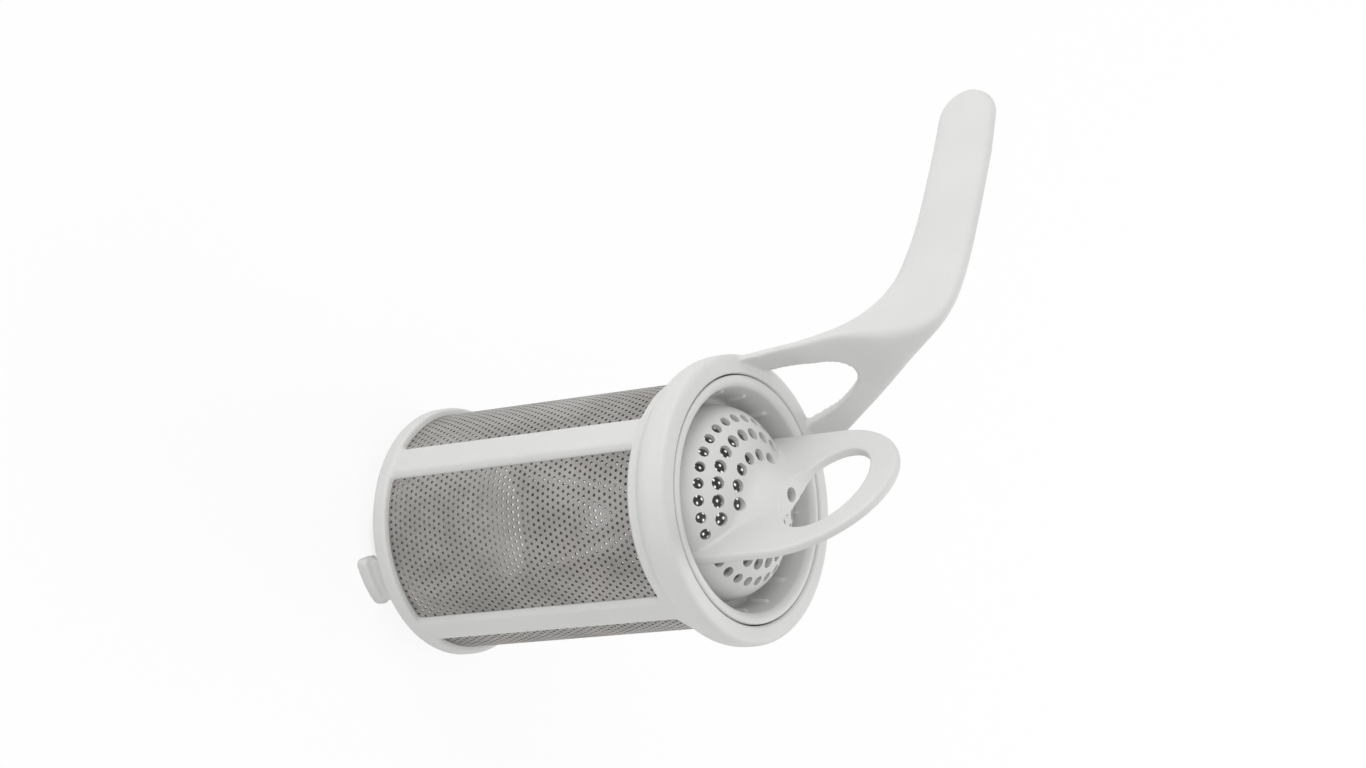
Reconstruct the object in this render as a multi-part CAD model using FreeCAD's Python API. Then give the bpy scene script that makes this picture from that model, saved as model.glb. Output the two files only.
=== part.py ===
import FreeCAD, Part
import math
import os

# A cylinder filter for a dishwasher, in millimetres.
# Three pieces: a moulded cage with its collar, bayonet lugs and turning lever,
# a perforated steel sleeve held in the cage, and a coarse sieve that lies in the
# collar and is lifted out by the eyelet of its fin.
# +Z is the filter's axis, collar up. +X is the side of the lever. The origin is on
# the axis, on the plane that the bayonet lugs stand on.

V = FreeCAD.Vector
AXIS = V(0, 0, 1)

# Driving dimensions
flange_radius = 40.3
body_height = 106.0
lug_height = 7.0
sleeve_thickness = 0.4
rib_count = 4
lug_count = 3
lever_reach = 146.0
running_gap = 0.3
fit_gap = 0.05

# Levels above the plane that the lugs stand on
ring_height = 4.6
collar_height = 15.5
ring_bottom = lug_height
ring_top = ring_bottom + ring_height
collar_top = ring_bottom + body_height
collar_bottom = collar_top - collar_height

# Radii of the cage, from the lip inwards
lip_width = 5.55
sleeve_inset = 0.65
rib_cover = 1.4
slot_depth = 3.0
bore_radius = flange_radius - lip_width
sleeve_radius = bore_radius - sleeve_inset
slot_outer = sleeve_radius + fit_gap
slot_inner = sleeve_radius - sleeve_thickness - fit_gap
rib_radius = sleeve_radius + rib_cover
rib_inner_radius = slot_inner - rib_cover
inner_radius = rib_inner_radius - fit_gap

# Uprights and ring
rib_half_width = 4.0
rib_chamfer = 1.1
rib_overlap = 1.0
rib_turn = 2.0
ring_rise = 0.7
ring_chamfer = 1.0
ring_radius = rib_radius + ring_rise

# Collar: its flare, its lip and the ledge in its bore
flare_round = 9.0
flare_start = -54.0
flare_steps = 3
lip_round = 1.6
lip_steps = 2
lip_side = 2.6
ledge_width = 2.15
ledge_depth = 6.3
ledge_height = 3.7
ledge_radius = bore_radius - ledge_width
ledge_level = collar_top - ledge_depth

# Bayonet lugs
lug_turn = 30.0
lug_half_angle = 12.5
lug_neck_angle = 11.0
lug_lip_depth = 2.2
lug_wall = 2.4
lug_lip = 3.6
lug_overlap = 1.0
lug_neck_radius = ring_radius - lug_lip_depth
lug_inner_radius = lug_neck_radius - lug_wall

# Sieve: rim, funnel and moat
sieve_gap = 0.35
sieve_wall = 1.6
rim_width = 1.9
rim_bevel = 1.2
rim_bevel_drop = 0.9
funnel_inset = 4.6
moat_depth = 13.0
moat_width = 1.6
sieve_radius = bore_radius - sieve_gap
sieve_seat = ledge_level + running_gap
funnel_top_radius = sieve_radius - rim_width - rim_bevel
moat_radius = sieve_radius - funnel_inset
moat_floor = collar_top - moat_depth
tick_count = 8
tick_turn = 10.0
tick_width = 0.9
tick_height = 2.4
tick_overlap = 1.2
tick_sink = 0.2

# Dome
dome_sink = 3.2
dome_steps = 5
dome_panel_count = 28
dome_radius = moat_radius - moat_width
dome_centre = moat_floor - dome_sink
dome_crown = dome_centre + dome_radius

# Fin with its eyelet, and the hollow fairing between fin and dome
fin_turn = -17.0
fin_thickness = 2.8
fin_inset = 0.2
fin_edge = 0.7
fin_band = 9.3
eye_leg = 10.3
eye_flattening = 6.3
eye_gap = 1.9
fin_half_width = dome_radius - fin_inset
eye_half_width = fin_half_width - eye_leg
eye_half_height = eye_half_width - eye_flattening
eye_centre = dome_crown + eye_gap + eye_half_height
fin_shoulder = eye_centre + eye_half_height + fin_band - fin_half_width
fairing_round = 9.5
fairing_end_round = 0.5
fairing_inset = 2.5
fairing_steps = 3
fairing_sections = 9
fairing_overlap = 0.15

# Rows of holes in the dome, from the lowest: angle from the crown, angle from hole to
# hole, holes on each side of the fin, diameter
hole_tilt_angles = (56.1, 45.2, 34.1)
hole_pitch_angles = (11.6, 14.1, 18.7)
hole_counts = (14, 11, 8)
hole_diameters = (3.0, 3.6, 3.4)
crown_hole = 4.4
drill_overrun = 3.5
drill_side_count = 6

# Lever: where each cross-section has its inner and its outer edge, as distance outside
# the collar's lip and height above the collar, with its half width, its bend about the
# axis and how square its corners are
lever_sections = [
    (-4.0, -4.5, -0.9, -4.5, 25.2, 1.0, 4.4),
    (-2.7, 1.3, 0.3, 0.3, 22.8, 1.0, 4.4),
    (-1.7, 5.5, 1.4, 4.2, 21.0, 1.0, 4.4),
    (-0.5, 13.6, 2.7, 11.9, 17.5, 0.6, 4.2),
    (2.9, 22.5, 7.6, 19.4, 13.8, 0.3, 4.0),
    (4.8, 28.7, 13.3, 22.7, 11.0, 0.1, 3.6),
    (7.0, 34.6, 20.1, 24.4, 8.2, 0.0, 3.2),
    (11.4, 41.5, 27.4, 25.1, 5.2, 0.0, 2.8),
    (17.5, 46.3, 33.3, 26.0, 3.7, 0.0, 2.5),
    (27.7, 48.6, 40.2, 26.7, 3.2, 0.0, 2.4),
    (46.7, 47.8, 54.6, 26.9, 3.0, 0.0, 2.4),
    (79.7, 44.4, 78.7, 24.8, 2.9, 0.0, 2.4),
]
lever_point_count = 20
tip_shares = (0.45, 0.75, 0.9, 0.975, 1.0)
tip_round_depth = 10.5
tip_slope = -0.15
tip_taper = 0.05
tip_least = 0.015
tip_edge_share = 0.35
arch_half_width = 12.5
arch_height = 20.8
arch_shares = ((1.0, -0.05), (0.87, 0.27), (0.69, 0.56), (0.38, 0.85), (0.0, 1.0))

# Perforation of the sleeve, coarser than the real one
gap_row_count = 4
gap_column_count = 3
gap_size = 2.0
gap_pitch_angle = 16.5
gap_row_margin = 6.0
gap_reach = 2.0


def turned(edges):
    """A solid turned about Z from a closed outline of edges in the XZ plane."""
    return Part.Face(Part.Wire(edges)).revolve(V(0, 0, 0), AXIS, 360)


def line(a, b):
    return Part.makeLine(V(a[0], 0, a[1]), V(b[0], 0, b[1]))


def arc(a, b, c):
    return Part.Arc(V(a[0], 0, a[1]), V(b[0], 0, b[1]), V(c[0], 0, c[1])).toShape()


def path(points):
    return [line(a, b) for a, b in zip(points[:-1], points[1:])]


def on_circle(centre, radius, degrees):
    angle = math.radians(degrees)
    return centre[0] + round(radius * math.cos(angle), 6), centre[1] + radius * math.sin(angle)


def round_run(centre, radius, start, end, steps):
    """Points along an arc, near enough for the cones between them to look round."""
    return [on_circle(centre, radius, start + (end - start) * i / steps) for i in range(steps + 1)]


def one_solid(shape):
    """The single solid that a boolean left inside a compound."""
    return max(shape.removeSplitter().Solids, key=lambda solid: solid.Volume)


def turn(shape, degrees):
    copy = shape.copy()
    copy.rotate(V(0, 0, 0), AXIS, degrees)
    return copy


def collar():
    """Flared band, rolled lip, bore with a ledge for the sieve, slot for the sleeve."""
    band_bottom = (rib_radius + fit_gap, collar_bottom)
    flare_centre = (flange_radius - flare_round, collar_top - lip_round - lip_side)
    flare = round_run(flare_centre, flare_round, flare_start, 0, flare_steps)
    lip_centre = (flange_radius - lip_round, collar_top - lip_round)
    lip = round_run(lip_centre, lip_round, 0, 90, lip_steps)
    outline = flare + lip + [
        (bore_radius, collar_top),
        (bore_radius, ledge_level),
        (ledge_radius, ledge_level),
        (ledge_radius, ledge_level - ledge_height),
        (rib_inner_radius, collar_bottom),
        (slot_inner, collar_bottom),
        (slot_inner, collar_bottom + slot_depth),
        (slot_outer, collar_bottom + slot_depth),
        (slot_outer, collar_bottom),
        band_bottom,
    ]
    return turned(path(outline + outline[:1]))


def bottom_ring():
    points = [
        (inner_radius, ring_bottom),
        (ring_radius - ring_chamfer / 2, ring_bottom),
        (ring_radius, ring_bottom + ring_chamfer / 2),
        (ring_radius, ring_top - ring_chamfer),
        (rib_radius + fit_gap, ring_top),
        (slot_outer, ring_top),
        (slot_outer, ring_top - slot_depth),
        (slot_inner, ring_top - slot_depth),
        (slot_inner, ring_top),
        (inner_radius, ring_top),
        (inner_radius, ring_bottom),
    ]
    return turned(path(points))


def rib():
    """One upright on the side of +X: a bevelled bar outside the sleeve, a flat one inside."""
    level = ring_top - rib_overlap
    height = collar_bottom + rib_overlap - level
    foot = rib_half_width + rib_chamfer
    outer = [(slot_inner, foot), (rib_radius - rib_chamfer, foot), (rib_radius, rib_half_width)]
    bar = prism(mirrored(outer), level, height)
    bar = bar.cut(Part.makeCylinder(slot_outer, height, V(0, 0, level)))
    inner = [(rib_inner_radius, rib_half_width), (slot_outer, rib_half_width)]
    back = prism(mirrored(inner), level, height)
    return bar.fuse(back.common(Part.makeCylinder(slot_inner, height, V(0, 0, level))))


def mirrored(points):
    return points + [(x, -y) for x, y in reversed(points)]


def prism(points, level, height):
    corners = [V(x, y, level) for x, y in points]
    return Part.Face(Part.makePolygon(corners + corners[:1])).extrude(V(0, 0, height))


def sector(inner, outer, level, height, half_angle):
    """A curved block centred on +X."""
    block = Part.makeCylinder(outer, height, V(0, 0, level), AXIS, 2 * half_angle)
    block = block.cut(Part.makeCylinder(inner, height, V(0, 0, level)))
    return turn(block, -half_angle)


def lug():
    """A neck below the ring, with a lip that turns under the sump's catch."""
    neck = sector(lug_inner_radius, lug_neck_radius, 0, lug_height, lug_neck_angle)
    root = sector(inner_radius, lug_neck_radius, lug_height - lug_overlap, 2 * lug_overlap, lug_neck_angle)
    lip = sector(lug_inner_radius, ring_radius, 0, lug_lip, lug_half_angle)
    return one_solid(lip.fuse([neck, root]))


def lever_wire(section):
    """A rounded outline between the inner and the outer edge, bent about the axis."""
    inner_out, inner_z, outer_out, outer_z, half_width, bend, squareness = section
    power = 2 / squareness
    points = []
    for i in range(lever_point_count):
        angle = 2 * math.pi * i / lever_point_count
        across, along = math.cos(angle), math.sin(angle)
        across = math.copysign(abs(across) ** power, across) * half_width
        share = 0.5 + 0.5 * math.copysign(abs(along) ** power, along)
        x = flange_radius + inner_out + (outer_out - inner_out) * share
        z = collar_top + inner_z + (outer_z - inner_z) * share
        sag = x - math.sqrt(x * x - across * across)
        points.append(V(x - bend * sag, across, z))
    return Part.makePolygon(points + points[:1])


def smooth_run(sections):
    """The sections with one more between each pair, on a smooth curve through them all."""
    run = []
    for i in range(len(sections) - 1):
        before, start = sections[max(i - 1, 0)], sections[i]
        end, after = sections[i + 1], sections[min(i + 2, len(sections) - 1)]
        run.append(start)
        run.append(tuple((9 * (b + c) - a - d) / 16 for a, b, c, d in zip(before, start, end, after)))
    return run + [sections[-1]]


def tip_sections():
    """The blade's last stretch, drawn in to a rounded end."""
    start, top, _, bottom, half_width, bend, squareness = lever_sections[-1]
    length = lever_reach - flange_radius - start
    sections = []
    for share in tip_shares:
        out = start + length * share
        past = max(0.0, 1 - length * (1 - share) / tip_round_depth)
        full = math.sqrt(max(1 - past ** 2, tip_least))
        middle = (top + bottom) / 2 + length * share * tip_slope
        half = (top - bottom) / 2 * (1 - tip_taper * share) * full
        width = half_width * (tip_edge_share + (1 - tip_edge_share) * full)
        sections.append((out, middle + half, out, middle - half, width, bend, squareness))
    return sections


def arch_hole():
    """The opening between the lever's two legs, cut along X."""
    half = [V(0, arch_half_width * w, collar_top + arch_height * h) for w, h in arch_shares]
    other = [V(0, -p.y, p.z) for p in reversed(half[:-1])]
    curve = Part.BSplineCurve()
    curve.interpolate(half + other)
    floor = Part.makeLine(other[-1], half[0])
    face = Part.Face(Part.Wire([curve.toShape(), floor]))
    return face.extrude(V(flange_radius * 2, 0, 0))


def lever():
    wires = [lever_wire(section) for section in smooth_run(lever_sections) + tip_sections()]
    blade = Part.makeLoft(wires, True, True)
    return blade.cut(arch_hole())


def filter_cage():
    cage = collar().fuse(bottom_ring())
    step = 360 / rib_count
    bars = [turn(rib(), rib_turn + step * i) for i in range(rib_count)]
    lugs = [turn(lug(), lug_turn + 360 / lug_count * i) for i in range(lug_count)]
    cage = cage.fuse(bars + lugs)
    return one_solid(cage.fuse(lever()))


def mesh_sleeve():
    """A rolled sheet whose lower and upper edge sit in the slots of ring and collar."""
    bottom = ring_top - slot_depth + fit_gap
    top = collar_bottom + slot_depth - fit_gap
    inner = sleeve_radius - sleeve_thickness
    sheet = Part.makeCylinder(sleeve_radius, top - bottom, V(0, 0, bottom))
    sheet = sheet.cut(Part.makeCylinder(inner, top - bottom, V(0, 0, bottom)))
    first = ring_top + gap_row_margin
    pitch = (collar_bottom - ring_top - 2 * gap_row_margin) / (gap_row_count - 1)
    corner = V(inner - gap_reach, -gap_size / 2, -gap_size / 2)
    gap = Part.makeBox(2 * gap_reach, gap_size, gap_size, corner)
    gaps = []
    for window in range(rib_count):
        centre = rib_turn + 360 / rib_count * (window + 0.5)
        for row in range(gap_row_count):
            stagger = gap_pitch_angle / 2 * (row % 2 - 0.5)
            for column in range(gap_column_count):
                angle = centre + stagger + gap_pitch_angle * (column - (gap_column_count - 1) / 2)
                copy = turn(gap, angle)
                copy.translate(V(0, 0, first + pitch * row))
                gaps.append(copy)
    return sheet.cut(Part.makeCompound(gaps))


def rim_and_moat():
    """Rim, funnel wall and the moat's floor in one wall."""
    inner = math.sqrt((dome_radius - sieve_wall) ** 2 - (moat_floor - dome_centre) ** 2)
    funnel_bottom = moat_floor - sieve_wall
    wall = [
        (inner, moat_floor),
        (moat_radius, moat_floor),
        (funnel_top_radius, collar_top - rim_bevel_drop),
        (sieve_radius - rim_width, collar_top),
        (sieve_radius, collar_top),
        (sieve_radius, sieve_seat),
        (ledge_radius - running_gap, sieve_seat),
        (moat_radius + sieve_wall, funnel_bottom),
        (inner, funnel_bottom),
        (inner, moat_floor),
    ]
    return turned(path(wall))


def cap(radius, foot):
    """The dome's ball above a level, in flat panels, so that round holes stay light."""
    start = math.degrees(math.asin((foot - dome_centre) / radius))
    levels = round_run((0, dome_centre), radius, start, 90, dome_steps)[:-1]
    turns = [math.radians(360 / dome_panel_count * i) for i in range(dome_panel_count)]
    rings = [[V(x * math.cos(t), x * math.sin(t), z) for t in turns] for x, z in levels]
    crown = V(0, 0, dome_centre + radius)
    panels = [Part.Face(Part.makePolygon(rings[0] + rings[0][:1]))]
    for low, high in zip(rings[:-1], rings[1:]):
        for i in range(dome_panel_count):
            corners = [low[i - 1], low[i], high[i], high[i - 1], low[i - 1]]
            panels.append(Part.Face(Part.makePolygon(corners)))
    for i in range(dome_panel_count):
        panels.append(Part.Face(Part.makePolygon([rings[-1][i - 1], rings[-1][i], crown, rings[-1][i - 1]])))
    return Part.makeSolid(Part.makeShell(panels))


def dome():
    floor = moat_floor - sieve_wall
    return cap(dome_radius, floor).cut(cap(dome_radius - sieve_wall, floor))


def fairing_wire(x):
    """A section across the fin: down a round hollow to the dome on each side, closed in its wall."""
    half = fin_thickness / 2
    fillet = fairing_end_round + (fairing_round - fairing_end_round) * (1 - (x / fin_half_width) ** 2)
    ball = math.sqrt(dome_radius ** 2 - x ** 2)
    within = math.sqrt((dome_radius - sieve_wall / 2) ** 2 - x ** 2)
    out = half + fillet
    up = math.sqrt((ball + fillet) ** 2 - out ** 2)
    foot = 180 + math.degrees(math.atan2(up, out))
    side = round_run((out, dome_centre + up), fillet, 180, foot, fairing_steps)
    side[0] = (half - fairing_overlap, side[0][1])
    side.append(on_circle((0, dome_centre), within, foot - 180))
    points = [V(x, y, z) for y, z in side] + [V(x, 0, dome_centre + within)]
    points += [V(x, -y, z) for y, z in reversed(side)]
    return Part.makePolygon(points + points[:1])


def fairing():
    """The hollow in which the fin's sides run out into the dome, widest in the middle."""
    reach = fin_half_width - fairing_inset
    places = [-reach + 2 * reach * i / (fairing_sections - 1) for i in range(fairing_sections)]
    return Part.makeLoft([fairing_wire(x) for x in places], True, True)


def fin_plate():
    """The upright plate: straight legs, a half round top, its faces across Y."""
    half = fin_half_width
    left, right = (-half, moat_floor - sieve_wall / 2), (half, moat_floor - sieve_wall / 2)
    edges = [
        line(left, right),
        line(right, (half, fin_shoulder)),
        arc((half, fin_shoulder), (0, fin_shoulder + half), (-half, fin_shoulder)),
        line((-half, fin_shoulder), left),
    ]
    plate = Part.Face(Part.Wire(edges)).extrude(V(0, fin_thickness, 0))
    plate.translate(V(0, -fin_thickness / 2, 0))
    rim = [e for e in plate.Edges if e.BoundBox.YLength < 0.01 and e.BoundBox.ZMax > left[1] + 1]
    plate = plate.makeChamfer(fin_edge, rim)
    inside = Part.makeSphere(dome_radius - sieve_wall, V(0, 0, dome_centre))
    return plate.cut(inside)


def eyelet():
    ellipse = Part.Ellipse(V(0, 0, 0), eye_half_width, eye_half_height)
    face = Part.Face(Part.Wire(ellipse.toShape()))
    hole = face.extrude(V(0, 0, 2 * fin_thickness))
    hole.rotate(V(0, 0, 0), V(1, 0, 0), 90)
    hole.translate(V(0, fin_thickness, eye_centre))
    return hole


def ease_eyelet(shape):
    edges = []
    for edge in shape.Edges:
        box = edge.BoundBox
        flat = box.YLength < 0.01 and abs(abs(box.Center.y) - fin_thickness / 2) < 0.01
        if flat and abs(box.XLength - 2 * eye_half_width) < 0.1:
            edges.append(edge)
    return shape.makeChamfer(fin_edge, edges)


def drill(diameter):
    """A straight-sided drill along Z that starts inside the dome's wall."""
    step = 360 / drill_side_count
    ring = [on_circle((0, 0), diameter / 2, step * (i + 0.5)) for i in range(drill_side_count)]
    start = dome_radius - sieve_wall - drill_overrun
    return prism(ring, start, sieve_wall + 2 * drill_overrun)


def dome_holes():
    """Radial drills through the dome: one in the crown, and rows on each side of the fin."""
    drills = [drill(crown_hole)]
    for tilt, pitch, count, diameter in zip(hole_tilt_angles, hole_pitch_angles, hole_counts, hole_diameters):
        for side in (90, 270):
            for i in range(count):
                hole = drill(diameter)
                hole.rotate(V(0, 0, 0), V(0, 1, 0), tilt)
                hole.rotate(V(0, 0, 0), AXIS, side + pitch * (i - (count - 1) / 2))
                drills.append(hole)
    holes = Part.makeCompound(drills)
    holes.translate(V(0, 0, dome_centre))
    return holes


def tick():
    """A low web across the moat."""
    corner = V(dome_radius - tick_overlap, -tick_width / 2, moat_floor - tick_sink)
    return Part.makeBox(moat_width + 2 * tick_overlap, tick_width, tick_height, corner)


def coarse_sieve():
    plate = ease_eyelet(fin_plate().cut(eyelet()))
    body = dome().fuse([fairing().cut(eyelet()), plate]).cut(dome_holes())
    ticks = [turn(tick(), tick_turn + 360 / tick_count * (i + 0.5)) for i in range(tick_count)]
    return turn(one_solid(body.fuse([rim_and_moat()] + ticks)), fin_turn)


def main():
    os.makedirs("parts", exist_ok=True)
    pieces = {
        "filter_cage": filter_cage(),
        "mesh_sleeve": mesh_sleeve(),
        "coarse_sieve": coarse_sieve(),
    }
    for name, shape in pieces.items():
        shape.exportStep("parts/" + name + ".step")


main()
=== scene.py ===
# %% [markdown]
# # A dishwasher filter, modelled and finished in Blender
#
# The object is a cylinder filter that stands in the sump of a dishwasher. It has three real pieces:
# a moulded cage with a collar and a turning lever, a perforated steel sleeve behind the cage's
# uprights, and a coarse sieve that lies in the collar and is lifted out by the eyelet of its fin.
#
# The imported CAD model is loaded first. It gives the frame that every new piece is built in: metres,
# +Z along the filter's axis with the collar up, +X towards the lever's tip.

import math

import bpy
from mathutils import Matrix, Vector


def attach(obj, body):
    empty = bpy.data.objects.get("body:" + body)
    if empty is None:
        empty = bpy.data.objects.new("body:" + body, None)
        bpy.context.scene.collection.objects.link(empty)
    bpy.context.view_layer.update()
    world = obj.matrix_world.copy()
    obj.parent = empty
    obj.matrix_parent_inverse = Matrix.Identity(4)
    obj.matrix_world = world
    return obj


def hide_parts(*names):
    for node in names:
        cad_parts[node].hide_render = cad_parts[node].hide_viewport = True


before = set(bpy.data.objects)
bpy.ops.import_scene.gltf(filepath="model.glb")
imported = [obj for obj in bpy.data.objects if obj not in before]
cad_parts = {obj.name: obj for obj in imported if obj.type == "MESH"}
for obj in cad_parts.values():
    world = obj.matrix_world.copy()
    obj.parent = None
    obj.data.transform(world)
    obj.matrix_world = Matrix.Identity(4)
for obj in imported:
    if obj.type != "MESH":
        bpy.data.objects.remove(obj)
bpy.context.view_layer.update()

# %% [markdown]
# ## Camera
#
# The photograph looks down on the filter from behind its left shoulder, with the camera rolled so
# that the filter seems to lie on its side. The place, the turn and the lens were worked out once
# from the circles of the collar and the ring, so they are written here as numbers. A camera looks
# along its own -Z, and the three columns say where its right, its up and its back point.

# %% Camera
def add_camera(place, right, up, back, lens):
    data = bpy.data.cameras.new("photo_camera")
    data.lens = lens
    data.clip_start = 0.01
    camera = bpy.data.objects.new("photo_camera", data)
    bpy.context.collection.objects.link(camera)
    turn = Matrix((right, up, back)).transposed()
    camera.matrix_world = Matrix.Translation(place) @ turn.to_4x4()
    bpy.context.scene.camera = camera
    return camera


camera = add_camera(
    place=Vector((-0.44759, 0.53752, 0.59166)),
    right=(0.28713, -0.51443, 0.80804),
    up=(0.78312, 0.61184, 0.11124),
    back=(-0.55161, 0.60085, 0.57854),
    lens=81.32,
)
print("camera looks along", [round(-x, 2) for x in camera.matrix_world.col[2][:3]])

# %% [markdown]
# ## Sizes
#
# Heights and distances are in millimetres, in the CAD model's frame, because a maker reads them most
# easily that way. One small function turns them into the metres that the scene uses. Points nearer
# to each other than the last value, which is in metres, count as one.

# %% Sizes
MM = 0.001
RING_BOTTOM = 7.0
RING_TOP = 11.6
COLLAR_BOTTOM = 97.5
COLLAR_TOP = 113.0
DOME_WALL = 1.6
MOAT_FLOOR = 100.0
FIN_TURN = -17.0
TOUCHING = 1e-6


def mm(*values):
    return Vector([v * MM for v in values])


# %% [markdown]
# ## Handling helpers
#
# An operator works on whatever is selected, and the CAD nodes are still selected after loading. So
# each step first lets go of everything, then picks up one piece, and goes into edit mode on it.

# %% Handling helpers
def let_go():
    if bpy.context.object and bpy.context.object.mode != "OBJECT":
        bpy.ops.object.mode_set(mode="OBJECT")
    bpy.ops.object.select_all(action="DESELECT")


def pick_up(*pieces):
    let_go()
    for piece in pieces:
        piece.select_set(True)
    bpy.context.view_layer.objects.active = pieces[0]
    return pieces[0]


def edit(piece):
    """Goes into edit mode on the piece, with all its points selected."""
    pick_up(piece)
    bpy.ops.object.mode_set(mode="EDIT")
    bpy.ops.mesh.select_mode(type="VERT")
    bpy.ops.mesh.select_all(action="SELECT")


def fresh(name):
    """Names the primitive that was just added."""
    piece = bpy.context.object
    piece.name = piece.data.name = name
    return piece


def settle(piece):
    """Puts the piece's place and turn into its mesh, with its object at the origin."""
    pick_up(piece)
    bpy.ops.object.transform_apply(location=True, rotation=True, scale=True)


def outward(piece):
    """Merges points that lie on each other, and turns every face outward."""
    edit(piece)
    bpy.ops.mesh.remove_doubles(threshold=TOUCHING)
    bpy.ops.mesh.normals_make_consistent(inside=False)
    let_go()


def apply(piece, kind, **settings):
    """Adds a modifier with its settings and applies it."""
    pick_up(piece)
    modifier = piece.modifiers.new(kind.title(), kind)
    for key, value in settings.items():
        setattr(modifier, key, value)
    bpy.ops.object.modifier_apply(modifier=modifier.name)
    return piece


def join(name, *pieces):
    pick_up(*pieces)
    bpy.ops.object.join()
    return fresh(name)


def cut(piece, tool):
    """Takes the tool's shape out of the piece, and puts the tool away."""
    apply(piece, "BOOLEAN", operation="DIFFERENCE", object=tool, solver="EXACT", use_self=True)
    bpy.data.objects.remove(tool)


def triangles(piece):
    return sum(len(p.vertices) - 2 for p in piece.data.polygons)


# %% [markdown]
# ## Turned pieces
#
# The collar, the bottom ring and the wall of the sieve are round about the filter's axis, as if
# turned on a lathe. Each starts as a single corner of a plane, which is extruded point by point
# along the piece's outline and then spun once round the axis. A cylinder with loops cut into it
# would also do, but the outline is what a maker would draw, so it is easier to check. Two helpers
# give points on an arc and on a smooth curve through a few given ones.

# %% Turned pieces
def arc(centre, radius, start, end, steps):
    """Points along an arc in the plane of the outline, angles in degrees."""
    angles = [math.radians(start + (end - start) * i / steps) for i in range(steps + 1)]
    return [(centre[0] + radius * math.cos(a), centre[1] + radius * math.sin(a)) for a in angles]


def smooth_run(sections, between):
    """The sections, with more of them between each pair, on a smooth curve through them all."""
    run = []
    for i in range(len(sections) - 1):
        four = [sections[max(min(i + k, len(sections) - 1), 0)] for k in (-1, 0, 1, 2)]
        for step in range(between):
            t = step / between
            shares = (
                -t / 2 + t * t - t**3 / 2,
                1 - 2.5 * t * t + 1.5 * t**3,
                t / 2 + 2 * t * t - 1.5 * t**3,
                -t * t / 2 + t**3 / 2,
            )
            run.append(tuple(sum(s * v for s, v in zip(shares, column)) for column in zip(*four)))
    return run + [sections[-1]]


def outline_run(name, outline):
    """A wire that follows the outline's points (distance from the axis, height) in millimetres."""
    let_go()
    bpy.ops.mesh.primitive_plane_add(size=MM, location=mm(outline[0][0], 0, outline[0][1]))
    piece = fresh(name)
    settle(piece)
    edit(piece)
    bpy.ops.mesh.merge(type="CENTER")
    for before, after in zip(outline[:-1], outline[1:]):
        step = mm(after[0] - before[0], 0, after[1] - before[1])
        bpy.ops.mesh.extrude_region_move(TRANSFORM_OT_translate={"value": step})
    return piece


def turned(name, outline, steps=160, angle=360.0):
    """Spins a closed outline about the axis. A part turn gets flat ends."""
    piece = outline_run(name, outline + outline[:1])
    bpy.ops.mesh.select_all(action="SELECT")
    bpy.ops.mesh.remove_doubles(threshold=TOUCHING)
    bpy.ops.mesh.select_all(action="SELECT")
    bpy.ops.mesh.spin(steps=steps, angle=math.radians(angle), center=(0, 0, 0), axis=(0, 0, 1))
    bpy.ops.mesh.select_all(action="SELECT")
    bpy.ops.mesh.remove_doubles(threshold=TOUCHING)
    if angle < 360:
        bpy.ops.mesh.select_all(action="DESELECT")
        bpy.ops.mesh.select_non_manifold()
        bpy.ops.mesh.fill_holes(sides=0)
    outward(piece)
    return piece


def turn(piece, degrees):
    pick_up(piece)
    piece.rotation_euler = (0, 0, math.radians(degrees))
    settle(piece)
    return piece


def copy_of(piece, name):
    """A copy with its own mesh."""
    pick_up(piece)
    bpy.ops.object.duplicate(linked=False)
    return fresh(name)


def all_round(piece, count):
    """The piece and its copies, evenly round the axis."""
    name = piece.name
    copies = [turn(copy_of(piece, name), 360.0 / count * i) for i in range(1, count)]
    print(name, "times", count)
    return [piece] + copies


# %% [markdown]
# ## Collar and bottom ring
#
# The collar is the wide head of the cage: a short band over the steel sleeve that flares out into a
# rolled lip, and inside it a bore with a ledge on which the sieve lies. The bottom ring is plain,
# with its edges eased. Both are soft moulded forms, so their rounds are real arcs in the outline.

# %% Collar and bottom ring
def make_collar():
    flare = arc((31.3, 108.8), 9.0, -54, 0, 14)
    lip = arc((38.7, 111.4), 1.6, 0, 90, 8)
    throat = arc((35.15, 112.6), 0.4, 90, 180, 3)
    bore = [(34.75, 106.7), (32.6, 106.7), (32.6, 103.0), (32.25, COLLAR_BOTTOM)]
    band = [(35.3, COLLAR_BOTTOM), (35.6, 97.8)]
    return turned("collar", flare + lip + throat + bore + band)


def make_ring():
    foot = arc((35.6, 7.6), 0.6, -90, 0, 4)
    brow = arc((35.3, 10.7), 0.9, 0, 90, 5)
    return turned("ring", [(32.2, RING_BOTTOM)] + foot + brow + [(32.2, RING_TOP)])


collar = make_collar()
ring = make_ring()
print("collar", triangles(collar), "ring", triangles(ring))

# %% [markdown]
# ## Uprights
#
# Four uprights join the ring to the collar and keep the steel sleeve in. Each is a bar with a flat
# face and two slanting sides, which catch less light than the face. A cube of the bar's size gets
# its two outer edges bevelled, and the other three are copies turned by a quarter each.

# %% Uprights
UPRIGHT_INNER, UPRIGHT_OUTER = 32.25, 35.5
UPRIGHT_WIDTH = 10.4
UPRIGHT_BEVEL = 1.45
UPRIGHT_SUNK = 1.5
UPRIGHT_TURN = 2.0


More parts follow.
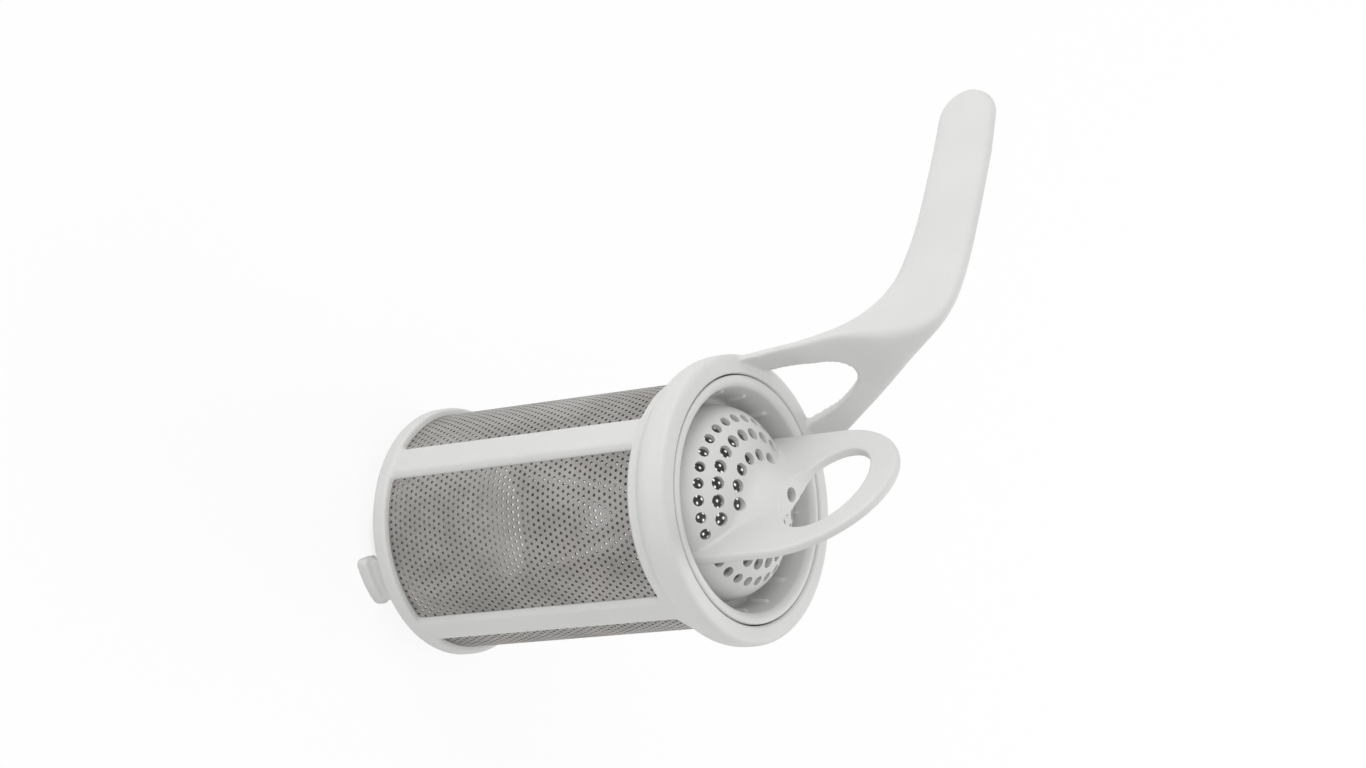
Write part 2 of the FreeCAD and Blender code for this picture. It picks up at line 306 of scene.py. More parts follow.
def select_edges(piece, wanted):
    """In edit mode, selects the edges whose middle and direction the given test accepts."""
    bpy.ops.mesh.select_all(action="DESELECT")
    bpy.ops.object.mode_set(mode="OBJECT")
    points = [v.co / MM for v in piece.data.vertices]
    for e in piece.data.edges:
        a, b = points[e.vertices[0]], points[e.vertices[1]]
        e.select = wanted((a + b) / 2, b - a)
    bpy.ops.object.mode_set(mode="EDIT")
    bpy.ops.mesh.select_mode(type="EDGE")


def make_upright():
    low, high = RING_TOP - UPRIGHT_SUNK, COLLAR_BOTTOM + UPRIGHT_SUNK
    middle = mm((UPRIGHT_INNER + UPRIGHT_OUTER) / 2, 0, (low + high) / 2)
    size = mm(UPRIGHT_OUTER - UPRIGHT_INNER, UPRIGHT_WIDTH, high - low)
    let_go()
    bpy.ops.mesh.primitive_cube_add(size=1, location=middle, scale=size)
    bar = fresh("upright")
    settle(bar)
    edit(bar)
    select_edges(bar, lambda at, along: at.x > 35 and abs(along.z) > 10)
    bpy.ops.mesh.bevel(offset=UPRIGHT_BEVEL * MM, segments=1, affect="EDGES")
    let_go()
    return turn(bar, UPRIGHT_TURN)


uprights = all_round(make_upright(), 4)

# %% [markdown]
# ## Lever
#
# The lever is the longest form and the hardest: it starts on the collar as a thin plate bent about
# the axis, narrows as it rises, and turns into an upright blade with a rounded end. A ring of points
# is extruded from section to section and set into place each time, which is how such a handle is
# drawn by hand. Each section says where its inner and its outer edge lie, half its width, how far
# it is bent about the axis, and how square its corners are: sharp at the legs, soft on the blade.

# %% Lever sections
LEVER_SECTIONS = [
    (36.3, -4.5, 39.4, -4.5, 25.2, 1.0, 4.5),
    (37.6, 1.3, 40.6, 0.3, 22.8, 1.0, 4.5),
    (38.6, 5.5, 41.7, 4.2, 21.0, 1.0, 4.5),
    (39.8, 13.6, 43.0, 11.9, 17.5, 0.6, 4.2),
    (43.2, 22.5, 47.9, 19.4, 13.8, 0.3, 4.0),
    (45.1, 28.7, 53.6, 22.7, 11.0, 0.1, 3.6),
    (47.3, 34.6, 60.4, 24.4, 8.2, 0.0, 3.2),
    (51.7, 41.5, 67.7, 25.1, 5.2, 0.0, 2.8),
    (57.8, 46.3, 73.6, 26.0, 3.7, 0.0, 2.5),
    (68.0, 48.5, 80.5, 26.7, 3.2, 0.0, 2.4),
    (87.0, 47.8, 94.9, 26.9, 3.0, 0.0, 2.4),
    (120.0, 44.4, 119.0, 24.8, 2.9, 0.0, 2.4),
]
LEVER_TIP = 146.0
LEVER_POINTS = 40
TIP_ROUND = 10.5
TIP_FALL = 0.15
TIP_NARROWING = 0.05
TIP_SHARES = (0.2, 0.4, 0.55, 0.66, 0.75, 0.83, 0.9, 0.95, 0.98, 0.995, 1.0)


def tip_run():
    """The blade's last stretch, drawn in to a round end."""
    last = LEVER_SECTIONS[-1]
    start, middle, height = last[0], (last[1] + last[3]) / 2, (last[1] - last[3]) / 2
    run = []
    for share in TIP_SHARES:
        x = start + (LEVER_TIP - start) * share
        z = middle - (x - start) * TIP_FALL
        past = max(0.0, (x - (LEVER_TIP - TIP_ROUND)) / TIP_ROUND)
        full = math.sqrt(max(1 - past**2, 0.012))
        half = height * (1 - TIP_NARROWING * share) * full
        width = last[4] * (0.3 + 0.7 * full)
        run.append((x, z + half, x, z - half, width, 0.0, 2.4))
    return run


def lever_ring(section):
    """The points of one section, a rounded box bent about the axis."""
    inner_x, inner_z, outer_x, outer_z, half_width, bend, square = section
    ring = []
    for i in range(LEVER_POINTS):
        angle = 2 * math.pi * (i + 0.5) / LEVER_POINTS
        across, along = math.cos(angle), math.sin(angle)
        across = math.copysign(abs(across) ** (2 / square), across) * half_width
        share = 0.5 + 0.5 * math.copysign(abs(along) ** (2 / square), along)
        x = inner_x + (outer_x - inner_x) * share
        z = inner_z + (outer_z - inner_z) * share
        sag = x - math.sqrt(x * x - across * across)
        ring.append(mm(x - bend * sag, across, COLLAR_TOP + z))
    return ring


lever_rings = [lever_ring(s) for s in smooth_run(LEVER_SECTIONS, 4) + tip_run()]
print("lever sections", len(lever_rings))

# %% [markdown]
# ## Forms drawn out through rings
#
# Each section is a ring of points. The last ring is extruded where it lies, and its new points are
# set onto the next one, so the faces between the two come by themselves. The lugs, the arch, the fin
# and its hollow are drawn out in the same way.

# %% Draw a form out through rings
def place_ring(piece, before, after):
    """Moves the selected points, which lie on one ring, to the places of the next."""
    bpy.ops.object.mode_set(mode="OBJECT")
    for v in piece.data.vertices:
        if v.select:
            nearest = min(range(len(before)), key=lambda i: (v.co - before[i]).length_squared)
            v.co = after[nearest]
    bpy.ops.object.mode_set(mode="EDIT")


def drawn_out(name, rings):
    """A closed form that runs through rings of as many points each."""
    let_go()
    bpy.ops.mesh.primitive_circle_add(vertices=len(rings[0]), radius=MM, fill_type="NGON")
    piece = fresh(name)
    edit(piece)
    bpy.ops.object.mode_set(mode="OBJECT")
    before = [v.co.copy() for v in piece.data.vertices]
    bpy.ops.object.mode_set(mode="EDIT")
    place_ring(piece, before, rings[0])
    for start, end in zip(rings[:-1], rings[1:]):
        bpy.ops.mesh.extrude_region_move()
        place_ring(piece, start, end)
    let_go()
    outward(piece)
    return piece


lever = drawn_out("lever", lever_rings)
print("lever", triangles(lever), "triangles")

# %% [markdown]
# ## Bayonet lugs
#
# Below the ring, three lugs turn under the catches of the sump. Each has a flat lip with rounded
# corners, whose outer edge stands out more at one end than at the other, and a neck that holds it to
# the ring. The lip's outline is drawn in plan and drawn up through four levels, so that its edges
# are eased; the neck is a short piece of tube, spun by a small angle.

# %% Bayonet lugs
# Degrees round the axis and distance from it
LUG_OUTLINE = [(-10, 37.2), (-6, 36.9), (-2, 36.6), (2, 36.3), (6, 35.9), (9.5, 35.5), (11.3, 35.0)]
LUG_OUTLINE += [(12.3, 34.2), (12.5, 33.0), (12.5, 31.6), (6, 31.6), (0, 31.6), (-6, 31.6)]
LUG_OUTLINE += [(-12.5, 31.6), (-12.5, 34.0), (-12.4, 35.6), (-11.9, 36.5), (-11.1, 37.0)]
LUG_MIDDLE = 34.2
LUG_HALF_LENGTH = 7.5
LUG_HALF_WIDTH = 2.8
# Level, and how far the outline is drawn in there
LUG_LEVELS = [(0, 0.4), (0.5, 0), (3.1, 0), (3.6, 0.4)]
LUG_TURN = 30.0
NECK_ANGLE = 22.0
NECK_OUTLINE = [(31.9, 3.0), (LUG_MIDDLE, 3.0), (LUG_MIDDLE, 8.0), (31.9, 8.0)]


def lug_ring(level, inset):
    """The lip's outline at a level, drawn in by the inset all round."""
    ring = []
    for degrees, radius in LUG_OUTLINE:
        angle = math.radians(degrees * (1 - inset / LUG_HALF_LENGTH))
        radius = LUG_MIDDLE + (radius - LUG_MIDDLE) * (1 - inset / LUG_HALF_WIDTH)
        ring.append(mm(radius * math.cos(angle), radius * math.sin(angle), level))
    return ring


def make_lug():
    lip = drawn_out("lug_lip", [lug_ring(level, inset) for level, inset in LUG_LEVELS])
    neck = turned("lug_neck", NECK_OUTLINE, 12, NECK_ANGLE)
    return turn(join("lug", lip, turn(neck, NECK_ANGLE / 2)), LUG_TURN)


lugs = all_round(make_lug(), 3)

# %% [markdown]
# ## The arch in the lever
#
# Between its two legs the lever has an opening like a small gothic window, through which water runs
# off. It goes straight through along X, so the tool is a flat arch drawn out along X and taken away
# from the lever by a boolean.

# %% The arch in the lever
# One side of the arch, as shares of its half width and its height
ARCH_SHARES = [(1, -0.05), (0.9, 0.27), (0.76, 0.56), (0.52, 0.83), (0.27, 0.955), (0.0, 1.0)]
ARCH_HALF_WIDTH = 12.3
ARCH_HEIGHT = 20.9
ARCH_ASIDE = 0.7


def arch_ring(x):
    across = [(-w, h) for w, h in ARCH_SHARES[:-1]]
    curve = smooth_run(ARCH_SHARES + across[::-1], 6)
    return [mm(x, ARCH_HALF_WIDTH * w - ARCH_ASIDE, COLLAR_TOP + ARCH_HEIGHT * h) for w, h in curve]


cut(lever, drawn_out("arch", [arch_ring(30.0), arch_ring(60.0)]))
print("lever with its arch", triangles(lever))

# %% [markdown]
# ## One moulding
#
# The cage is one piece of plastic, so its parts must run into each other without seams. Joined
# meshes that only pass through each other would show hard lines. A voxel remesh makes one skin
# round all of them, a few rounds of smoothing ease every inside corner as a mould does, and a
# decimation keeps the count in bounds.

# %% One moulding
def mould(name, parts, voxel, rounds, limit):
    piece = join(name, *parts)
    apply(piece, "REMESH", mode="VOXEL", voxel_size=voxel * MM, adaptivity=0.0)
    apply(piece, "SMOOTH", factor=0.5, iterations=rounds)
    apply(piece, "TRIANGULATE")
    count = triangles(piece)
    if count > limit:
        apply(piece, "DECIMATE", decimate_type="COLLAPSE", ratio=limit / count)
    print(name, "from", count, "to", triangles(piece), "triangles")
    return piece


cage_parts = [collar, ring, lever] + uprights + lugs
cage = mould("cage_moulding", cage_parts, voxel=0.5, rounds=4, limit=185000)

# %% [markdown]
# ## Sieve body
#
# The sieve is a moulding like a small hat: a flat rim with a bright bevel, a funnel wall, a moat and
# a dome. It is turned as a full body first and hollowed later, so that the fin can grow out of it.

# %% Sieve body
# Distance from the axis and height
DOME_POINTS = [(0, 119.0), (4, 118.85), (8, 118.35), (11.8, 117.4), (15, 116.35), (17.9, 115.1)]
DOME_POINTS += [(20.4, 113.6), (22.6, 111.9), (24.3, 110.3), (25.6, 108.6), (26.5, 106.7)]
DOME_POINTS += [(27, 104.5), (27.2, 102), (27.4, MOAT_FLOOR)]
DOME_OUTLINE = smooth_run(DOME_POINTS, 3)


def dome_height(distance):
    """The height of the dome's outer face at a distance from the axis."""
    for inner, outer in zip(DOME_OUTLINE[:-1], DOME_OUTLINE[1:]):
        if distance <= outer[0]:
            share = (distance - inner[0]) / (outer[0] - inner[0])
            return inner[1] + (outer[1] - inner[1]) * share
    return MOAT_FLOOR


def make_sieve_body():
    moat = [(28.2, MOAT_FLOOR), (29.4, MOAT_FLOOR), (29.9, 100.5)]
    rim = [(31.2, 111.7), (31.4, 112.2), (32.4, 112.9), (32.7, 113.0)]
    edge = [(34.1, 113.0), (34.4, 112.7), (34.4, 107.0), (32.3, 107.0), (31.4, 98.4), (0.0, 98.4)]
    return turned("sieve_body", DOME_OUTLINE + moat + rim + edge)


sieve_body = make_sieve_body()
print("sieve body", triangles(sieve_body))

# %% [markdown]
# ## Fin
#
# The fin is an upright plate across the dome, half round at the top. Its outline is a ring of points
# drawn out by the plate's thickness, and the rim is bevelled so that a finger finds no sharp edge.
# It could be a cube with a boolean for its top, but the outline gives the round top directly.

# %% Fin plate
FIN_HALF = 28.0
FIN_SHOULDER = COLLAR_TOP + 18.0
FIN_THICKNESS = 2.8
FIN_FOOT = 98.8
FIN_BEVEL = 0.9


def fin_ring(y):
    top = arc((0, FIN_SHOULDER), FIN_HALF, 0, 180, 48)
    outline = [(FIN_HALF, FIN_FOOT)] + top + [(-FIN_HALF, FIN_FOOT)]
    return [mm(x, y, z) for x, z in outline]


def make_fin():
    half = FIN_THICKNESS / 2
    plate = drawn_out("fin", [fin_ring(-half), fin_ring(half)])
    edit(plate)
    select_edges(plate, lambda at, along: abs(abs(at.y) - half) < 0.01 and at.z > 99)
    bpy.ops.mesh.bevel(offset=FIN_BEVEL * MM, segments=3, affect="EDGES")
    let_go()
    return plate


fin = make_fin()
print("fin", triangles(fin))

# %% [markdown]
# ## Hollow between fin and dome
#
# Where the plate meets the dome it doesn't stop at a corner: its sides run out into the dome in a
# wide hollow, deepest in the middle and gone at the legs. That hollow is a second form, drawn out
# along the fin, whose section at each place is a round fillet between plate and dome.

# %% Hollow between fin and dome
FLARE_HALF_LENGTH = 17.0
# How far it reaches down the dome and up the plate: at its ends, and how much more in its middle
FLARE_FOOT = (0.7, 7.4)
FLARE_RISE = (1.0, 14.0)
FLARE_THICKENING = 1.4
FLARE_FALL = 1.4
FLARE_BEND = 0.42


def curve_point(points, t):
    """A point of the curve that leaves the first point towards the second and ends at the last."""
    shares = ((1 - t) ** 3, 3 * t * (1 - t) ** 2, 3 * t * t * (1 - t), t**3)
    return [sum(s * p[k] for s, p in zip(shares, points)) for k in (0, 1)]


def flare_ring(x):
    """One section across the fin: over the plate, down both sides, back inside the dome's wall."""
    half = FIN_THICKNESS / 2
    swell = max(0.0, 1 - (x / FLARE_HALF_LENGTH) ** 2) ** FLARE_FALL
    foot = half + FLARE_FOOT[0] + FLARE_FOOT[1] * swell
    rise = FLARE_RISE[0] + FLARE_RISE[1] * swell
    thick = half + FLARE_THICKENING * max(0.0, 2 * swell - 1)
    ground = dome_height(math.hypot(x, foot))
    bend = half + (foot - half) * FLARE_BEND
    points = [(thick, dome_height(math.hypot(x, half)) + rise), (thick + 0.1, ground + rise * 0.5)]
    points += [(bend, dome_height(math.hypot(x, bend)) + 0.25), (foot, ground)]
    side = [curve_point(points, i / 12) for i in range(13)]
    side += [(foot * k, dome_height(math.hypot(x, foot * k)) - 1.0) for k in (0.85, 0.45)]
    other = [(-y, z) for y, z in reversed(side)]
    return [mm(x, y, z) for y, z in side + other]


def make_flare():
    one_side = [25, 23, 21, 19, 17, 15, 13, 11, 9, 7, 5, 2.5]
    places = [-x for x in one_side] + [0] + one_side[::-1]
    return drawn_out("flare", [flare_ring(x) for x in places])


flare = make_flare()
print("flare", triangles(flare))

# %% [markdown]
# ## Eyelet and funnel ribs
#
# A finger goes through the eyelet, an ellipse punched through the fin and the top of the hollow. A
# cylinder scaled to the ellipse is the punch. Short upright ribs stiffen the funnel wall inside the
# rim: one small bevelled block is modelled, leaned like the wall, then copied and turned round.

# %% Eyelet and funnel ribs
EYELET_HALF_WIDTH, EYELET_HALF_HEIGHT = 17.6, 11.8
EYELET_MIDDLE = COLLAR_TOP + 25.5
FUNNEL_LEAN = 7.1
FUNNEL_RIB_PLACE = (30.45, 0, 105.2)
FUNNEL_RIB_SIZE = (2.0, 0.85, 5.6)


def make_punch():
    let_go()
    place = mm(0, 0, EYELET_MIDDLE)
    lie = (math.radians(90), 0, 0)
    bpy.ops.mesh.primitive_cylinder_add(vertices=96, radius=1, depth=1, location=place, rotation=lie)
    punch = fresh("eyelet")
    punch.scale = mm(EYELET_HALF_WIDTH, EYELET_HALF_HEIGHT, 40)
    settle(punch)
    return punch


fin = join("fin", fin, flare)
cut(fin, make_punch())


def make_funnel_rib():
    let_go()
    lean = (0, math.radians(FUNNEL_LEAN), 0)
    place, size = mm(*FUNNEL_RIB_PLACE), mm(*FUNNEL_RIB_SIZE)
    bpy.ops.mesh.primitive_cube_add(size=1, location=place, rotation=lean, scale=size)
    rib = fresh("funnel_rib")
    settle(rib)
    edit(rib)
    select_edges(rib, lambda at, along: at.x < 30.2)
    bpy.ops.mesh.bevel(offset=0.22 * MM, segments=2, affect="EDGES")
    let_go()
    return rib


funnel_ribs = all_round(turn(make_funnel_rib(), -FIN_TURN), 18)
print("fin with its eyelet", triangles(fin))

# %% [markdown]
# ## The sieve as one moulding
#
# Body, fin and ribs are moulded together like the cage, in finer voxels because the fin is thin.
# After that the underside is hollowed, by a turned tool with the dome's own outline set in by the
# thickness of its wall.

# %% The sieve as one moulding
sieve_parts = [sieve_body, fin] + funnel_ribs
sieve = mould("sieve_moulding", sieve_parts, voxel=0.36, rounds=5, limit=150000)


def make_hollow():
    """The dome's outline again, set in by the wall."""
    inner = []
    for before, after in zip(DOME_OUTLINE[:-1], DOME_OUTLINE[1:]):
        run, drop = after[0] - before[0], before[1] - after[1]
        share = DOME_WALL / math.hypot(run, drop)
        inner.append((max(before[0] - drop * share, 0), before[1] - run * share))
    return turned("hollow", [(0.0, 94.0)] + inner + [(inner[-1][0], 94.0)])


cut(sieve, make_hollow())
print("hollowed", triangles(sieve))

# %% [markdown]
# ## Holes of the dome
#
# Three rows of holes lie on each side of the fin, square to the dome's face, and two go straight
# down at the foot of the eyelet. Each row has its distance from the axis, its tilt, the angle from
# hole to hole, the holes on one side of the fin, and their diameter. Drilling comes last, so that the
# holes keep clean edges.

# %% Holes of the dome
DRILL_SIDES = 28
DRILL_LENGTH = 6.0
FOOT_DRILL_LENGTH = 15.0
FOOT_DRILL_MIDDLE = 122.5
HOLE_ROWS = [(22.6, 42, 12.0, 14, 3.1), (17.9, 29, 15.9, 10, 3.8), (11.8, 18, 24.7, 6, 3.7)]
FOOT_HOLES = [(0.2, -0.2, 4.2), (-6.4, -3.4, 2.6)]


def add_drill(middle, diameter, length, lie):
    bpy.ops.mesh.primitive_cylinder_add(
        vertices=DRILL_SIDES,
        radius=diameter / 2 * MM,
        depth=length * MM,
        location=middle,
        rotation=lie,
    )
    return fresh("drill")


def drill(distance, tilt, around, diameter):
    way = Matrix.Rotation(around, 3, "Z") @ Matrix.Rotation(math.radians(tilt), 3, "Y")
    face = Matrix.Rotation(around, 3, "Z") @ mm(distance, 0, dome_height(distance))
    middle = face + way @ mm(0, 0, -0.6)
    return add_drill(middle, diameter, DRILL_LENGTH, way.to_euler())


def foot_drill(x, y, diameter):
    return add_drill(mm(x, y, FOOT_DRILL_MIDDLE), diameter, FOOT_DRILL_LENGTH, (0, 0, 0))


let_go()
drills = [foot_drill(*values) for values in FOOT_HOLES]
for distance, tilt, pitch, count, diameter in HOLE_ROWS:
    for side in (90, 270):
        for i in range(count):
            around = math.radians(side + pitch * (i - (count - 1) / 2))
            drills.append(drill(distance, tilt, around, diameter))
print("holes", len(drills))
drills = join("drills", *drills)
settle(drills)
cut(sieve, drills)
turn(sieve, FIN_TURN)
print("sieve", triangles(sieve))

# %% [markdown]
# ## Steel sleeve
#
# The sleeve is one thin sheet of stainless steel with thousands of small round holes in staggered
# rows, rolled into a tube. Punching each hole by a boolean would take minutes. Instead one cell, a
# hexagon with a hole in it, is repeated in rows and columns until the sheet is wide enough to go
# once round, and the flat sheet is then rolled up and given its thickness.

# %% Flat perforated sheet
SLEEVE_RADIUS = 34.0
SHEET_THICKNESS = 0.35
SLEEVE_BOTTOM = RING_TOP - 1.6
SLEEVE_TOP = COLLAR_BOTTOM + 1.6
COLUMNS = 104
SHEET_WIDTH = 2 * math.pi * SLEEVE_RADIUS
PITCH = SHEET_WIDTH / COLUMNS
ROW_STEP = PITCH * math.sqrt(3) / 2
ROW_PAIRS = math.ceil((SLEEVE_TOP - SLEEVE_BOTTOM) / ROW_STEP / 2)
RIM_OF_HOLE = 0.29


def make_cell():
    """A hexagon standing on its point in the plane of X and Z, with its middle taken out."""
    let_go()
    lie = (math.radians(90), 0, 0)
    corner = PITCH / math.sqrt(3)
    bpy.ops.mesh.primitive_circle_add(vertices=6, radius=corner * MM, fill_type="NGON", rotation=lie)
    cell = fresh("sleeve_cell")
    settle(cell)
    edit(cell)
    bpy.ops.mesh.select_mode(type="FACE")
    bpy.ops.mesh.select_all(action="SELECT")
    bpy.ops.mesh.inset(thickness=PITCH * RIM_OF_HOLE * MM)
    bpy.ops.mesh.delete(type="FACE")
    let_go()
    return cell


def repeat(piece, count, step):
    apply(
        piece,
        "ARRAY",
        count=count,
        use_relative_offset=False,
        use_constant_offset=True,
        constant_offset_displace=step,
    )


sleeve = make_cell()
spare = copy_of(sleeve, "sleeve_cell")
spare.location = mm(PITCH / 2, 0, ROW_STEP)
settle(spare)
sleeve = join("steel_sleeve", sleeve, spare)
repeat(sleeve, COLUMNS, mm(PITCH, 0, 0))
repeat(sleeve, ROW_PAIRS, mm(0, 0, 2 * ROW_STEP))
edit(sleeve)
bpy.ops.mesh.remove_doubles(threshold=0.02 * MM)
let_go()
print("flat sheet", triangles(sleeve), "rows", 2 * ROW_PAIRS, "pitch mm", round(PITCH, 2))

# %% [markdown]
# ## Rolling the sheet
#
# The sheet is bent round until its two ends meet. They are merged there, the sheet is cut off level
# at both ends, and it gets its thickness last, because a thick sheet would be squeezed by bending.

# %% Roll the sheet
def span(piece, axis):
    values = [v.co[axis] for v in piece.data.vertices]
    return min(values), max(values)


def roll(sheet):
    """Bends the flat sheet round until its two ends meet, and closes the seam."""
    left, right = span(sheet, 0)
    sheet.location = mm(-(left + right) / 2 / MM, 0, SLEEVE_BOTTOM - 1.0)
    settle(sheet)
    turns = (right - left) / (SHEET_WIDTH * MM)
    angle = 2 * math.pi * turns
    apply(sheet, "SIMPLE_DEFORM", deform_method="BEND", deform_axis="Z", angle=angle)
    sheet.location = mm(0, -SLEEVE_RADIUS, 0)
    settle(sheet)
    edit(sheet)
    bpy.ops.mesh.remove_doubles(threshold=0.03 * MM)
    for level, upper in ((SLEEVE_BOTTOM, False), (SLEEVE_TOP, True)):
        bpy.ops.mesh.select_all(action="SELECT")
        place, up = mm(0, 0, level), (0, 0, 1)
        bpy.ops.mesh.bisect(plane_co=place, plane_no=up, clear_outer=upper, clear_inner=not upper)
    bpy.ops.mesh.select_all(action="SELECT")
    bpy.ops.mesh.normals_make_consistent(inside=False)
    let_go()


roll(sleeve)
print("radius mm", span(sleeve, 0)[1] / MM, "height", [round(z / MM, 1) for z in span(sleeve, 2)])
apply(sleeve, "SOLIDIFY", thickness=SHEET_THICKNESS * MM, offset=0.0, use_even_offset=True)
print("sleeve", triangles(sleeve))

# %% [markdown]
# ## Shading values as sums
#
# A finish is a small piece of arithmetic: noise times a little, plus a base. Written with nodes one
# by one it is hard to read, so a signal wraps an output socket, and Python's own signs on it add the
# Math nodes. Colours are mixed by Mix nodes, because Math would turn them grey.

# %% Shading values as sums
def feed(tree, target, value):
    if isinstance(value, Signal):
        tree.links.new(value.socket, target)
    else:
        target.default_value = value


class Signal:
    """What comes out of a node. Sums on it add Math nodes to its finish."""

    def __init__(self, tree, socket):
        self.tree, self.socket = tree, socket

    def sum(self, operation, a, b):
        node = self.tree.nodes.new("ShaderNodeMath")
        node.operation = operation
        feed(self.tree, node.inputs[0], a)
        feed(self.tree, node.inputs[1], b)
        return Signal(self.tree, node.outputs[0])

    def __add__(self, other):
        return self.sum("ADD", self, other)

    def __mul__(self, other):
        return self.sum("MULTIPLY", self, other)

    __radd__, __rmul__ = __add__, __mul__


class Finish:
    """A material, with one method for all its nodes."""

    def __init__(self, name, **steady):
        self.material = bpy.data.materials.new(name)
        self.material.use_nodes = True
        self.tree = self.material.node_tree
        self.shader = self.tree.nodes["Principled BSDF"]
        self.place = self.node("TexCoord", {}, {}, "Object")
        self.give(**steady)

    def node(self, kind, settings, values, output=0):
        node = self.tree.nodes.new("ShaderNode" + kind)
        for key, value in settings.items():
            setattr(node, key, value)
        for key, value in values.items():
            feed(self.tree, node.inputs[key], value)
        return Signal(self.tree, node.outputs[output])

    def mapped(self, place, **moved):
        """The place after it is moved, turned or scaled."""
        return self.node("Mapping", {}, {"Vector": place, **moved})

    def noise(self, scale, detail=2.0, stretch=(1, 1, 1)):
        """Noise between 0 and 1 on the piece's own place. The scale is in patches per metre."""
        place = self.mapped(self.place, Scale=stretch)
        values = {"Vector": place, "Scale": scale, "Detail": detail, "Roughness": 0.55}
        return self.node("TexNoise", {}, values, "Fac")

    def mix(self, share, a, b):
        values = {0: share, 6: a, 7: b}
        return self.node("Mix", {"data_type": "RGBA"}, values, 2)

    def ramp(self, value, low, high):
        values = {"Value": value, "From Min": low, "From Max": high}
        return self.node("MapRange", {"clamp": True}, values)

    def bump(self, height, distance, strength=1.0, under=None):
        values = {"Height": height, "Distance": distance, "Strength": strength}
        if under:
            values["Normal"] = under
        return self.node("Bump", {}, values)

    def give(self, **values):
        for key, value in values.items():
            feed(self.tree, self.shader.inputs[key.replace("_", " ")], value)


def coat(piece, finish):
    piece.data.materials.clear()
    piece.data.materials.append(finish.material)
    print(piece.name, "is coated with", finish.material.name, "of", len(finish.tree.nodes), "nodes")


# %% [markdown]
# ## Moulded plastic
#
# The cage and the sieve are polypropylene in a light grey, near white. Such plastic is satin: a soft
# wide highlight, very faint clouds in its colour, a fine skin left by the mould, and a dull spot or
# two where it has been handled. All of it is noise on the piece's own place, at three sizes.

# %% Moulded plastic
def moulded_plastic():
    finish = Finish("grey_plastic", IOR=1.49, Specular_IOR_Level=0.35)
    clouds = finish.ramp(finish.noise(38, 3.0), 0.3, 0.7)
    specks = finish.ramp(finish.noise(900, 2.0), 0.66, 0.74)
    base = finish.mix(clouds, (0.645, 0.648, 0.632, 1), (0.675, 0.677, 0.663, 1))
    finish.give(Base_Color=finish.mix(specks * 0.25, base, (0.6, 0.59, 0.57, 1)))
    worn = finish.ramp(finish.noise(120, 4.0), 0.35, 0.75)
    finish.give(Roughness=0.46 + worn * 0.12)
    skin = finish.noise(2600, 2.0)
    waves = finish.noise(55, 1.0)
    finish.give(Normal=finish.bump(skin * 0.25 + waves, 0.00012, 0.35))
    return finish


plastic = moulded_plastic()
for piece in (cage, sieve):
    coat(piece, plastic)

# %% [markdown]
# ## Perforated steel
#
# The sleeve is rolled stainless sheet. It isn't polished: it has a warm grey, half dull shine, and
# fine lines round it from the rolling. The thin sheet is a little dented, which a slow bump gives.
# The broad light and dark patches that such dents reflect are painted reflections: two greys in the
# base colour, mixed by a noise of their own.

# %% Perforated steel
def perforated_steel():
    finish = Finish("perforated_steel", Metallic=1.0)
    # Painted reflections: light and dark greys in the base colour stand in for what the dents
    # reflect.
    painted_reflections = finish.ramp(finish.noise(42, 3.0, (1, 1, 0.6)), 0.34, 0.66)
    tint = finish.ramp(finish.noise(60, 2.0, (1, 1, 1.4)), 0.45, 0.75)
    grey = finish.mix(painted_reflections, (0.29, 0.282, 0.27, 1), (0.47, 0.462, 0.447, 1))
    finish.give(Base_Color=finish.mix(tint * 0.5, grey, (0.42, 0.385, 0.365, 1)))
    lines = finish.noise(220, 3.0, (1, 1, 14))
    finish.give(Roughness=0.42 + lines * 0.16)
    dents = finish.noise(95, 2.0)
    slow = finish.bump(dents, 0.0018, 0.9)
    finish.give(Normal=finish.bump(lines, 0.00005, 0.5, slow))
    return finish


coat(sleeve, perforated_steel())

# %% [markdown]
# ## Smooth faces
#
# Faces are shaded smooth up to an angle, so that the domes and rounds look round while the rims of
# the holes and the sheet's cut edges stay crisp.

# %% Smooth faces
for piece, degrees in ((cage, 38), (sieve, 38), (sleeve, 30)):
    pick_up(piece)
    bpy.ops.object.shade_smooth_by_angle(angle=math.radians(degrees))
    print(piece.name, "is smooth up to", degrees, "degrees")
let_go()

# %% [markdown]
# ## What rides on what
#
# Cage and sleeve stay put. The sieve is drawn out along the filter's axis, so it rides on its own
# body. Each new piece stands for the CAD node of the same real piece.

# %% What rides on what
for piece, body, node, slot in (
    (cage, "cage", "filter_cage", "grey_plastic"),
    (sleeve, "cage", "mesh_sleeve", "perforated_steel"),
    (sieve, "sieve", "coarse_sieve", "grey_plastic"),
):
    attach(piece, body)
    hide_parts(node)
    print(piece.name, "rides on", body, "for", node)

# %% [markdown]
# ## Floor
#
# The filter stands on a plain pale floor that the camera sees as white, with its soft shadow left
# on it. That white is a glow which only camera rays meet. Below and behind the filter,
# where the floor is seen only through the holes of the steel, there is no glow, so that the holes
# look dark. This dark spot is a long round: the place on the floor is turned to the direction in
# which the camera looks and shrunk along it, and its length says how far it is from the middle.

# %% Floor
def mix_shaders(tree, share, first, second):
    node = tree.nodes.new("ShaderNodeMixShader")
    feed(tree, node.inputs[0], share)
    tree.links.new(first, node.inputs[1])
    tree.links.new(second, node.inputs[2])
    return node.outputs[0]


DARK_SPOT_TURN = 47.5
DARK_SPOT_SHIFT = -0.017
DARK_SPOT_LENGTHENING = 2.0
DARK_SPOT_EDGE = (0.026, 0.032)
GLOW_SHARE = 0.9


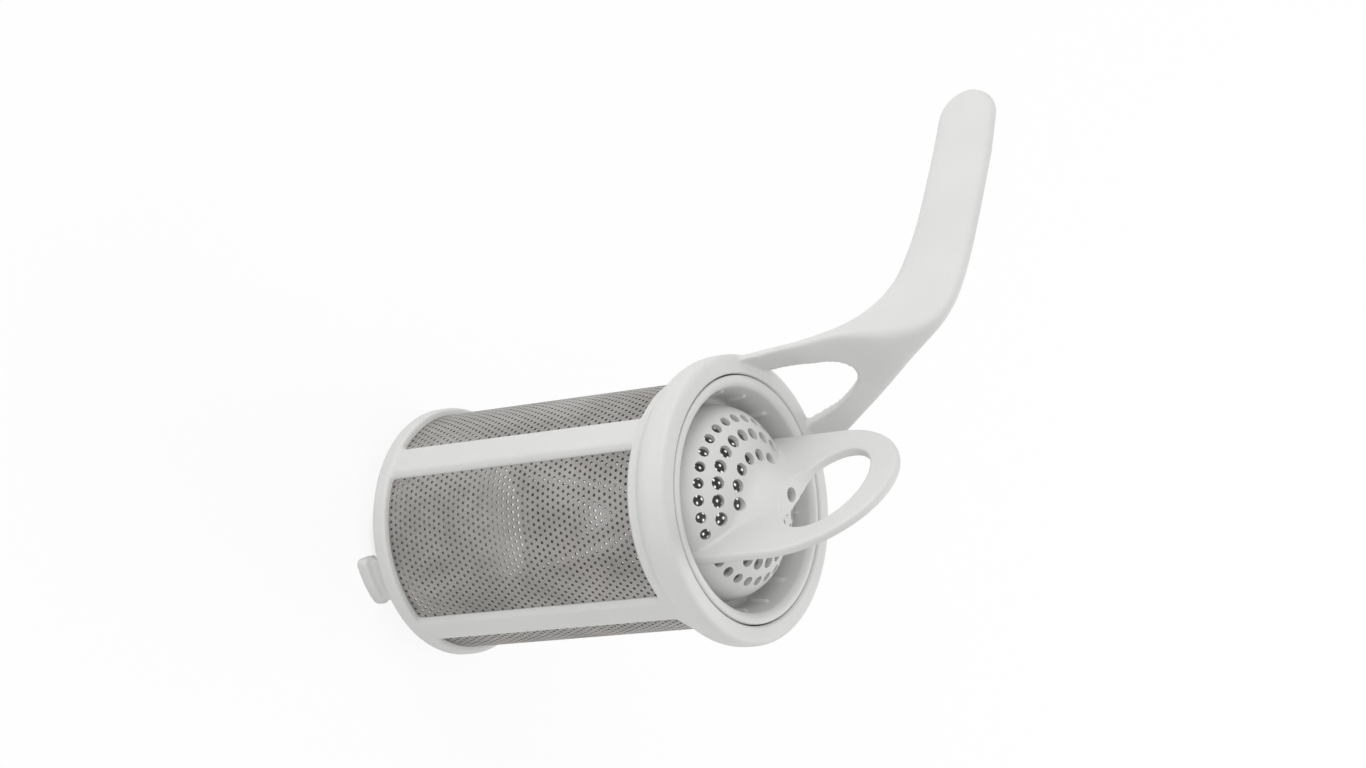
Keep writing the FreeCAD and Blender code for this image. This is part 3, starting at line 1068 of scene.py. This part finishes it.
def studio_floor():
    finish = Finish("studio_floor", Base_Color=(0.9, 0.9, 0.9, 1), Roughness=0.9)
    glow = finish.node("Emission", {}, {"Color": (1, 1, 1, 1), "Strength": 1.0})
    seen = finish.node("LightPath", {}, {}, "Is Camera Ray")
    lined_up = finish.mapped(finish.place, Rotation=(0, 0, math.radians(DARK_SPOT_TURN)))
    shrunk = (1 / DARK_SPOT_LENGTHENING, 1, 1)
    behind = finish.mapped(lined_up, Location=(DARK_SPOT_SHIFT, 0, 0), Scale=shrunk)
    away = finish.node("VectorMath", {"operation": "LENGTH"}, {0: behind}, "Value")
    open_floor = finish.ramp(away, *DARK_SPOT_EDGE)
    share = seen * open_floor * GLOW_SHARE
    white = mix_shaders(finish.tree, share, finish.shader.outputs[0], glow.socket)
    finish.tree.links.new(white, finish.tree.nodes["Material Output"].inputs[0])
    return finish


let_go()
bpy.ops.mesh.primitive_plane_add(size=8.0, location=(0, 0, 0))
floor = fresh("floor")
coat(floor, studio_floor())


# %% [markdown]
# ## World and lamps
#
# Three large soft lamps stand round the filter: one to the side that is the upper left of the
# picture, a weak one near the camera and one on the far side. The world gives the greater part as an
# even light all round, because the photograph has hardly a shadow.

# %% World and lamps
LAMP_SIZE = 0.9
LAMP_AIM = Vector((0, 0, 0.06))


def set_world(strength):
    world = bpy.data.worlds.new("studio")
    bpy.context.scene.world = world
    world.use_nodes = True
    background = world.node_tree.nodes["Background"]
    background.inputs[0].default_value = (1, 1, 1, 1)
    background.inputs[1].default_value = strength


def add_lamp(name, place, watts):
    data = bpy.data.lights.new(name, "AREA")
    data.shape, data.size, data.energy = "DISK", LAMP_SIZE, watts
    lamp = bpy.data.objects.new(name, data)
    bpy.context.collection.objects.link(lamp)
    lamp.location = place
    lamp.rotation_euler = (LAMP_AIM - lamp.location).to_track_quat("-Z", "Y").to_euler()
    print(name, watts, "watts")


set_world(0.7)
add_lamp("key", (0.45, 1.05, 0.5), 4.6)
add_lamp("front", (-0.55, 0.6, 0.65), 1.3)
add_lamp("far_side", (0.4, -1.0, 0.8), 5.0)
bpy.context.scene.view_settings.view_transform = "Standard"
